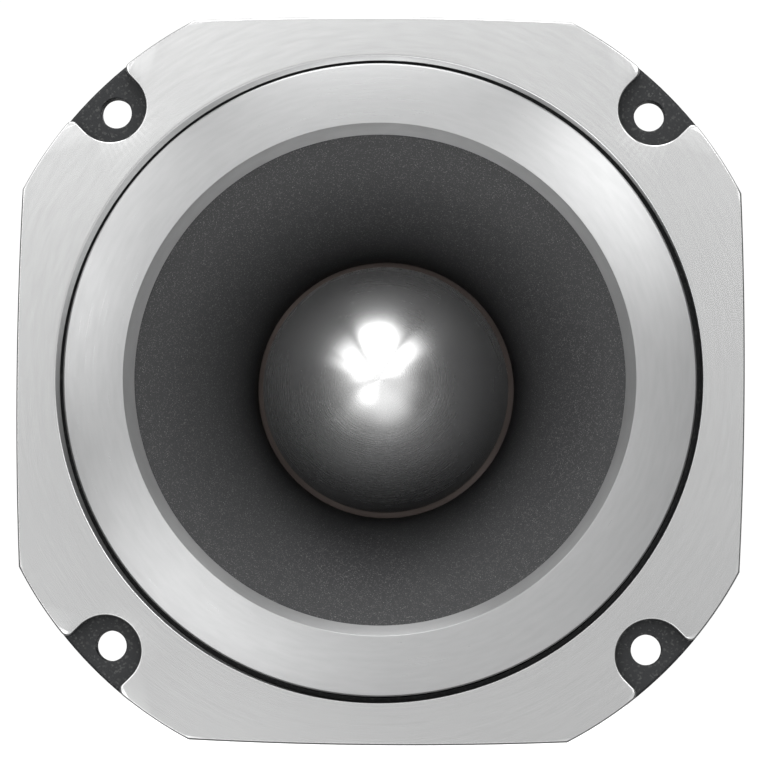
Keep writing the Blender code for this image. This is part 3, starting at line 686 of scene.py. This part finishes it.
def trim_ring():
    (out_r, out_z), (in_r, in_z) = RING_OUT, RING_IN
    seat_z = ring_low.z
    under = MOUTH[1] + 0.3
    recess_in, recess_out, recess_z = RECESS
    path = rounded(
        [
            (recess_out, seat_z, 0.1),
            (out_r, seat_z, 0.15),
            (out_r, out_z, 0.28),
            (in_r, in_z, 0.07),
            (MOUTH[0], under + 0.2, 0.06),
            (MOUTH[0], under, 0.05),
            (LIP_R + 0.3, under, 0.1),
            (LIP_R + 0.3, seat_z, 0.1),
            (recess_in, seat_z, 0.1),
            (recess_in, recess_z, 0.1),
            (recess_out, recess_z, 0.1),
        ],
        closed=True,
    )
    bm = turned(path, FINE, closed=True)
    piece("bright_ring", bm, "trim_ring")


def bullet():
    base_r, base_z, tip_z = BULLET_R, bullet_low.z, bullet_high.z
    length = tip_z - base_z
    nose = []
    for i in range(2, 90):
        across = math.cos(math.radians(i))
        nose.append((base_r * across, base_z + length * math.sqrt(1 - across**NOSE_POWER)))
    hole_r, hole_z = BULLET_HOLE[0], base_z + BULLET_HOLE[1]
    path = [(0, hole_z + 1.0), (hole_r, hole_z), (hole_r, base_z), (base_r - 0.2, base_z), (base_r, base_z + 0.2)]
    bm = turned([*path, *nose, (0, tip_z)], FINE)
    piece("bullet_plug", bm, "bullet")


face_plate()
base_frame()
horn()
trim_ring()
bullet()

# -------------------------------------------------------------------------- screws


def screw(name, place, seat_z, head, shank, towards=1, pitch=0.7):
    """A pan-head screw with a cross recess and a rolled thread. head and shank are (radius, length).

    towards is 1 where the shank points out of the mouth, and -1 where it points to the back.
    """
    head_r, head_h = head
    shank_r, length = shank
    root_r = shank_r - 0.28 * pitch
    dome = []
    for a in range(9, 91, 9):
        along, across = polar(1.0, a)
        dome.append((head_r * across, -head_h * (0.45 + 0.55 * along)))
    under_head = rounded([(head_r, -0.45 * head_h), (head_r, 0, 0.12), (shank_r, 0), (shank_r, 0.4)])[1:]
    path = [(0, -head_h), *dome, *under_head]
    z = 0.7
    while z + pitch < length - shank_r:
        path += [(shank_r, z), (shank_r, z + 0.1), (root_r, z + 0.45 * pitch), (root_r, z + 0.6 * pitch)]
        z += pitch
    path += [(root_r, length - 0.6 * shank_r), (0.4 * shank_r, length), (0, length)]
    bm = turned([(r, towards * h) for r, h in path], 32, (*place, seat_z))
    tip = seat_z - towards * 0.35 * head_h
    mouth = seat_z - towards * (head_h + 0.2)
    cross = bmesh.new()
    arm, half = 0.62 * head_r, 0.13 * head_r
    outline_at = []
    for scale, at_z in ((1.0, mouth), (0.55, tip)):
        a, b = arm * scale, half * scale
        corners = []
        for c, t in ((1, 0), (0, 1), (-1, 0), (0, -1)):
            arm_corners = ((a, -b), (a, b), (b, b))
            corners += [(place[0] + c * x - t * y, place[1] + t * x + c * y) for x, y in arm_corners]
        outline_at.append(loop(cross, corners, at_z))
    walls(cross, *outline_at)
    cap(cross, outline_at[0])
    cap(cross, outline_at[1])
    bm = subtract(bm, cross)
    piece(name + "_detailed", bm, name)


def screws():
    for i, place in enumerate(pattern(*PLATE_SCREWS), 1):
        screw(f"plate_screw_{i}", place, 1.7, (2.0, 1.4), (1.0, 3.8), pitch=0.5)
    for i, place in enumerate(pattern(*HORN_SCREWS), 1):
        screw(f"horn_screw_{i}", place, 4.5, (2.3, 1.6), (1.5, 8.5), towards=-1)
    for i, place in enumerate(pattern(*DRIVER_SCREWS), 1):
        screw(f"driver_screw_{i}", place, -36.3, (2.6, 1.8), (1.5, 11.5))
    for i, place in enumerate(pattern(*COVER_SCREWS), 1):
        screw(f"cover_screw_{i}", place, -69.7, (2.3, 1.5), (1.5, 15.5))
    for i, x in enumerate((-CUP_SCREW_X, CUP_SCREW_X), 1):
        screw(f"terminal_screw_{i}", (x, CUP_Y), -72.8, (2.2, 1.4), (1.1, 5.5), pitch=0.6)
    screw("bullet_bolt", (0, 0), -59.4, (4.5, 3.6), (2.5, 42.9), pitch=0.8)


# ----------------------------------------------------------- rear cover, terminals

cover_low, cover_high = size("rear_cover")
block_low, block_high = size("terminal_block")
COVER_R = cover_high.x
COVER_WALL = 2.0
COVER_BACK_T = 2.5
COVER_SCREWS = (27.3, (30, 150, 270))
COVER_BOSS = (2.8, -57.9)  # radius, z of its end
CUP_Y = (block_low.y + block_high.y) / 2
CUP_HALF = (20.0, 8.5)
CUP_CORNER_R = 6.0
CUP_WALL = 1.6
CUP_SCREW_X = 24.0
CUP_FLOOR_Z = -63.5
SOCKET_X = 9.0
SOCKET_BACK_Z = -69.0
POST_HOLE_R = 1.8
POST_EYE = (0.9, -73.2)  # radius, z
MARK = (1.1, 0.28, 8.45)  # half length and half width of a bar of the + and -, and how far over the sockets
CAP_R, CAP_BORE_R = 4.1, 1.9
CAP_TURNS = 18  # grip flutes round a push cap
SPRING = (0.35, 2.5, 5.5, 0.9)  # wire's radius, coil's radius, turns, closed turns at each end


def rounded_box(half, corner, centre, steps=12):
    points = []
    for quarter, (sx, sy) in enumerate(((1, 1), (-1, 1), (-1, -1), (1, -1))):
        for i in range(steps + 1):
            dx, dy = polar(corner, 90 * (quarter + i / steps))
            points.append((centre[0] + sx * (half[0] - corner) + dx, centre[1] + sy * (half[1] - corner) + dy))
    return points


def rear_cover():
    back, front = cover_low.z, cover_high.z
    inside_r, inside_z = COVER_R - COVER_WALL, back + COVER_BACK_T
    path = rounded(
        [
            (0, back),
            (COVER_R - 2.6, back, 0.8),
            (COVER_R, back + 2.6, 2.0),
            (COVER_R, front - 2.2, 0.2),
            (COVER_R - 0.4, front - 1.8, 0.2),
            (COVER_R - 0.4, front - 1.2, 0.2),
            (COVER_R, front - 0.8, 0.2),
            (COVER_R, front, 0.2),
            (inside_r, front, 0.2),
            (inside_r, inside_z, 1.0),
            (0, inside_z),
        ],
        steps=6,
    )
    bm = turned(path, FINE)
    boss_r, boss_end = COVER_BOSS
    bosses = rods([(x, y, boss_r, inside_z - 1, boss_end) for x, y in pattern(*COVER_SCREWS)], 32)
    bm = combine(bm, bosses, "UNION")
    seats = bmesh.new()
    for x, y in pattern(*COVER_SCREWS):
        seat = [(0, back - 1), (3.0, back - 1), (3.0, back), (2.7, back + 0.3), (2.7, back + 1.6), (1.8, back + 1.6)]
        lathe(seats, [*seat, (1.8, boss_end + 1), (0, boss_end + 1)], 40, (x, y, 0))
    bm = subtract(bm, seats)
    window = rounded_box([h + 0.3 for h in CUP_HALF], CUP_CORNER_R, (0, CUP_Y))
    bm = subtract(bm, prism(bmesh.new(), window, back - 1, inside_z + 1))
    bm = subtract(bm, rods([(x, CUP_Y, 1.4, back - 1, inside_z + 1) for x in (-CUP_SCREW_X, CUP_SCREW_X)], 24))
    piece("rear_shell", bm, "rear_cover", weighted=True)


def terminal_cup():
    centre = (0, CUP_Y)
    back, flange_front, front = block_low.z, block_low.z + 1.2, block_high.z
    flange_half = (block_high.x, (block_high.y - block_low.y) / 2)
    bm = bmesh.new()

    def brim(inset, z):
        half = [h - inset for h in flange_half]
        return loop(bm, rounded_box(half, half[1] - 0.01, centre), z)

    def bowl(grow, z):
        wall = CUP_WALL - grow
        return loop(bm, rounded_box([h - wall for h in CUP_HALF], CUP_CORNER_R - wall, centre), z)

    def neck(z):
        return loop(bm, rounded_box(CUP_HALF, CUP_CORNER_R, centre), z)

    rim = [brim(inset, back + drop) for inset, drop in reversed(list(edge_steps(0.5)))] + [brim(0, flange_front)]
    mouth = [bowl(0.4 - g, back + d) for g, d in ((0, 0), (0.2, 0.05), (0.35, 0.2), (0.4, 0.4))]
    for a, inset in ((0, 0), (30, 0.107), (60, 0.4), (90, 0.8)):
        mouth.append(bowl(-inset, CUP_FLOOR_Z - 0.8 + 0.8 * math.sin(math.radians(a))))
    outer = [neck(flange_front), neck(front)]
    walls(bm, *rim)
    walls(bm, *mouth)
    walls(bm, *outer)
    cap(bm, rim[0], mouth[0])
    cap(bm, rim[-1], outer[0])
    cap(bm, outer[-1])
    socket = rounded(
        [
            (6.7, CUP_FLOOR_Z),
            (6.1, CUP_FLOOR_Z, 0.5),
            (6.1, SOCKET_BACK_Z, 0.4),
            (4.4, SOCKET_BACK_Z, 0.2),
            (4.4, SOCKET_BACK_Z + 1.0, 0.05),
            (5.1, SOCKET_BACK_Z + 1.0, 0.05),
            (5.1, CUP_FLOOR_Z),
        ]
    )
    bases = []
    for x in (-SOCKET_X, SOCKET_X):
        rings = [loop(bm, circle(r, (x, CUP_Y)), z) for r, z in socket]
        walls(bm, *rings)
        cap(bm, rings[-1])
        bases.append(rings[0])
    cap(bm, mouth[-1], *bases)
    ends = [(x, CUP_Y) for x in (-CUP_SCREW_X, CUP_SCREW_X)]
    bm = subtract(bm, turned_cutters(ends, 1.4, back, flange_front, 0.2, 32))
    bm = subtract(bm, rods([(x, CUP_Y, POST_HOLE_R, CUP_FLOOR_Z - 1, front + 1) for x in (-SOCKET_X, SOCKET_X)], 32))
    long, short, above = MARK
    for x, half in ((SOCKET_X, (long, short)), (SOCKET_X, (short, long)), (-SOCKET_X, (long, short))):
        bar = rounded_box(half, short - 0.01, (x, CUP_Y + above), 4)
        bm = combine(bm, prism(bmesh.new(), bar, back - 0.3, back + 0.4), "UNION")
    piece("terminal_cup", bm, "terminal_block", weighted=True)


def push_cap(colour, x):
    back = size(f"push_cap_{colour}")[0].z
    foot_z = SOCKET_BACK_Z + 1.3
    end_z = back + 1.5
    path = rounded(
        [
            (CAP_BORE_R, back, 0.25),
            (CAP_R, back, 0.7),
            (CAP_R, foot_z, 0.1),
            (4.8, foot_z, 0.2),
            (4.8, foot_z + 1.0, 0.2),
            (3.3, foot_z + 1.0, 0.1),
            (3.3, end_z, 0.3),
            (CAP_BORE_R, end_z, 0.1),
        ],
        steps=5,
        closed=True,
    )
    bm = bmesh.new()
    side = [(CAP_R, z) for z in np.linspace(back + 0.9, foot_z - 0.4, 14)]
    start = next(i for i, point in enumerate(path) if point[1] > back + 0.69 and point[0] > CAP_R - 0.1)
    path[start + 1 : start + 1] = side
    lathe(bm, path, 8 * CAP_TURNS, (x, CUP_Y, 0), closed=True)
    for v in bm.verts:
        dx, dy = v.co.x - x, v.co.y - CUP_Y
        r = math.hypot(dx, dy)
        if r > CAP_R - 0.2 and back + 0.9 <= v.co.z < foot_z - 0.3:
            rise = min(1.0, (v.co.z - back - 0.8) / 0.5, (foot_z - 0.3 - v.co.z) / 0.5)
            groove = 0.5 - 0.5 * math.cos(CAP_TURNS * math.atan2(dy, dx))
            shrink = 1 - 0.24 * rise * groove**1.5 / r
            v.co.x, v.co.y = x + dx * shrink, CUP_Y + dy * shrink
    piece(f"grip_cap_{colour}", bm, f"push_cap_{colour}", math.radians(50))


def post(colour, x):
    """A post with chamfered ends and an eye across it for the bare wire."""
    low, high = size(f"terminal_post_{colour}")
    radius = high.x - x
    chamfer = 0.4
    path = rounded(
        [
            (0, low.z),
            (radius - chamfer, low.z, 0.15),
            (radius, low.z + chamfer, 0.15),
            (radius, high.z - chamfer, 0.15),
            (radius - chamfer, high.z, 0.15),
            (0, high.z),
        ]
    )
    bm = turned(path, 48, (x, CUP_Y, 0))
    eye_r, eye_z = POST_EYE
    eye = bmesh.new()
    across = Matrix.Translation((x, CUP_Y, eye_z)) @ Matrix.Rotation(math.radians(90), 4, "Y")
    bmesh.ops.create_cone(eye, cap_ends=True, segments=32, matrix=across, radius1=eye_r, radius2=eye_r, depth=6)
    bm = subtract(bm, eye)
    piece(f"brass_post_{colour}", bm, f"terminal_post_{colour}")


def spring(colour, x):
    """A compression spring with closed ends. The real one shortens as the cap goes in; this mesh is built at one
    length.
    """
    low, high = size(f"push_spring_{colour}")
    wire_r, coil_r, turns, closed_turns = SPRING
    start, stop = low.z + wire_r, high.z - wire_r
    free = (stop - start) - 2 * closed_turns * 2 * wire_r
    points = []
    count = int(turns * 28)
    for i in range(count + 1):
        t = turns * i / count
        z = start + 2 * wire_r * min(t, closed_turns)
        z += free * min(1, max(0, (t - closed_turns) / (turns - 2 * closed_turns)))
        z += 2 * wire_r * max(0, t - (turns - closed_turns))
        dx, dy = polar(coil_r, 360 * t)
        points.append((x + dx, CUP_Y + dy, z))
    bm = bmesh.new()
    tube(bm, points, wire_r, 12)
    obj = piece(f"coil_spring_{colour}", bm, f"push_spring_{colour}", math.radians(60))
    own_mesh(obj)


# -------------------------------------------------------------------- driver parts


COIL_IN_R = 19.15
COIL_WIRE_R = 0.135
FILM = (13.5, 18.6, 19.8, 21.8)  # radii of its hole, the start, the bottom and the end of its vee
FILM_T = 0.15
VEE_DEPTH = 1.2
MAGNET_HOLE_R = 24.0


def driver():
    coil_low, coil_high = size("voice_coil")
    inner, outer = COIL_IN_R, coil_high.x
    wire_r = COIL_WIRE_R
    rows = int((coil_high.z - coil_low.z) / (2 * wire_r))
    winding = [(inner, coil_high.z), (inner, coil_low.z)]
    for i in range(rows):
        z = coil_low.z + (i + 0.5) * (coil_high.z - coil_low.z) / rows
        for a in (-70, -35, 0, 35, 70):
            dr, dz = polar(wire_r, a)
            winding.append((outer - wire_r + dr, z + dz))
    piece("coil_winding", turned(winding, 128, closed=True), "voice_coil")

    _, high = size("diaphragm")
    hole_r, flat_r, vee_r, rise_r = FILM
    top = high.z
    vee = [(flat_r, top, 0.3), (vee_r, top - VEE_DEPTH, 0.5), (rise_r, top, 0.3)]
    face = rounded([(hole_r, top), *vee, (high.x, top)], steps=6)
    path = face + [(r, z - FILM_T) for r, z in reversed(face)]
    piece("diaphragm_film", turned(path, 192, closed=True), "diaphragm")

    low, high = size("magnet")
    hole, rim = MAGNET_HOLE_R, high.x
    corners = [(hole, low.z, 0.6), (rim, low.z, 0.8), (rim, high.z, 0.8), (hole, high.z, 0.6)]
    piece("magnet_ring", turned(rounded(corners, closed=True), 192, closed=True), "magnet")


screws()
rear_cover()
terminal_cup()
for colour, x in (("red", SOCKET_X), ("black", -SOCKET_X)):
    push_cap(colour, x)
    post(colour, x)
    spring(colour, x)
driver()

# --------------------------------------------------------------------- stage, camera

# In metres.
CAMERA_DISTANCE = 0.80
CAMERA_SIDE = 0.0202
CAMERA_DROP = 0.0344
FRAME_WIDTH = 0.1022
ROLL = math.radians(0.44)
SENSOR = 36.0  # millimetres
FLOOR_Z = cad_box[0][2] - 0.04
# The studio is built round an axis a little off the horn's: degrees towards +X, degrees up.
STUDIO_AXIS = (-7.0, 1.2)
STUDIO_BASE = 0.07
STUDIO_FRONT = (58, 0.29)  # limit in degrees off the axis, strength
# Soft boxes: middle and half width in degrees round the axis from +X, soft edge, outer limit off the axis,
# its soft edge, strength.
STUDIO_BOXES = ((97, 62, 16, 190, 12, 0.68), (-90, 52, 20, 66, 12, 0.17), (82, 65, 16, 75, 16, 0.18))
# Soft lights: degrees round the axis, degrees off the axis, half-strength radius, strength.
STUDIO_LIGHTS = (
    (89, 9.1, 3.0, 1.91),
    (31, 24, 6, 4.6),
    (241, 16, 10, 2.7),
    (285, 24, 12, 0.3),
    (138, 40, 15, 1.4),
    (-11, 26.1, 18.0, 0.51),
    (165, 18, 7, 3.0),
    (298, 42.4, 22.0, 0.34),
    (92, 60, 17, 4.8),
    (52, 51, 15, 2.0),
    (90, 180, 60, 0.4),
)
# Narrow black cards between them: degrees round the axis, half width, share of light let through.
FLAGS_FROM = (16, 25)  # they fade in between these degrees off the axis
STUDIO_FLAGS = ((118.5, 2.8, 0.05), (59.5, 3.1, 0.0), (148, 1.8, 0.4))


def stage():
    bm = bmesh.new()
    bmesh.ops.create_grid(bm, x_segments=2, y_segments=2, size=4.0)
    mesh = bpy.data.meshes.new("floor")
    bm.to_mesh(mesh)
    bm.free()
    floor = bpy.data.objects.new("floor", mesh)
    floor.location.z = FLOOR_Z
    bpy.context.scene.collection.objects.link(floor)
    f = Finish("floor_white", (0.86, 0.86, 0.86), 0.8)
    f.set("Emission Color", (1.0, 1.0, 1.0, 1.0))
    f.set("Emission Strength", 0.45)
    mesh.materials.append(f.material)
    floor.visible_glossy = False


def world():
    """White to the camera; to everything else, a grey studio with soft lights round its front."""
    made = bpy.data.worlds.new("studio")
    bpy.context.scene.world = made
    made.use_nodes = True
    tree = made.node_tree
    tree.nodes.clear()

    def add(kind, inputs=(), **settings):
        return add_node(tree, kind, inputs, **settings)

    def reckon(operation, a, b=0.0):
        return add("Math", {0: a, 1: b}, operation=operation).outputs[0]

    def share(way):
        return add("VectorMath", {0: direction, 1: way}, operation="DOT_PRODUCT").outputs["Value"]

    def ramp(value, dark_at, bright_at, strength=1.0):
        """From nothing at one angle to full strength at the other, both in degrees."""
        inputs = {"Value": value, "From Min": math.radians(dark_at), "From Max": math.radians(bright_at)}
        inputs |= {"To Min": 0.0, "To Max": strength}
        return add("MapRange", inputs, interpolation_type="SMOOTHSTEP").outputs["Result"]

    def away_from(degrees):
        return reckon("ABSOLUTE", reckon("SUBTRACT", around, math.radians(degrees)))

    direction = add("TexCoord").outputs["Generated"]
    side, lift = (math.sin(math.radians(degrees)) for degrees in STUDIO_AXIS)
    axis = Vector((side, -math.sqrt(1 - side**2 - lift**2), lift))
    right = Vector((-axis.y, axis.x, 0)).normalized()
    up = right.cross(-axis)
    total = STUDIO_BASE
    for across, out, radius, strength in STUDIO_LIGHTS:
        ahead, sideways = polar(1.0, out)
        dx, dz = polar(sideways, across)
        angle = reckon("ARCCOSINE", share(dx * right + dz * up + ahead * axis))
        total = reckon("ADD", total, ramp(angle, 1.5 * radius, 0.5 * radius, strength))
    around = reckon("ARCTAN2", share(up), share(right))
    off_axis = reckon("ARCCOSINE", share(axis))
    limit, strength = STUDIO_FRONT
    total = reckon("ADD", total, ramp(off_axis, limit + 10, limit - 10, strength))
    for degrees, half, soft, limit, limit_soft, strength in STUDIO_BOXES:
        across = ramp(away_from(degrees), half + 0.5 * soft, half - 0.5 * soft, strength)
        along = ramp(off_axis, limit + 0.5 * limit_soft, limit - 0.5 * limit_soft)
        total = reckon("ADD", total, reckon("MULTIPLY", across, along))
    forward = ramp(off_axis, *FLAGS_FROM)
    for degrees, half, through in STUDIO_FLAGS:
        shade = reckon("MULTIPLY", ramp(away_from(degrees), 2 * half, 0, 1 - through), forward)
        total = reckon("MULTIPLY", total, reckon("SUBTRACT", 1.0, shade))
    white = (1.0, 1.0, 1.0, 1.0)
    studio = add("Background", {"Color": white, "Strength": total})
    seen = add("Background", {"Color": white, "Strength": 1.05})
    is_seen = add("LightPath").outputs["Is Camera Ray"]
    mix = add("MixShader", {0: is_seen, 1: studio.outputs[0], 2: seen.outputs[0]})
    add("OutputWorld", {"Surface": mix.outputs[0]})


def camera():
    data = bpy.data.cameras.new("camera")
    obj = bpy.data.objects.new("camera", data)
    bpy.context.scene.collection.objects.link(obj)
    face_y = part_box("face_plate")[0].y
    target = Vector((0, face_y, 0))
    place = Vector((CAMERA_SIDE, face_y - CAMERA_DISTANCE, -CAMERA_DROP))
    look = target - place
    turn = look.to_track_quat("-Z", "Y").to_matrix() @ Matrix.Rotation(ROLL, 3, "Z")
    obj.matrix_world = Matrix.Translation(place) @ turn.to_4x4()
    data.sensor_width = SENSOR
    data.lens = SENSOR * look.length / FRAME_WIDTH
    data.clip_start = 0.01
    bpy.context.scene.camera = obj


stage()
world()
camera()
bpy.context.scene.view_settings.view_transform = "Standard"
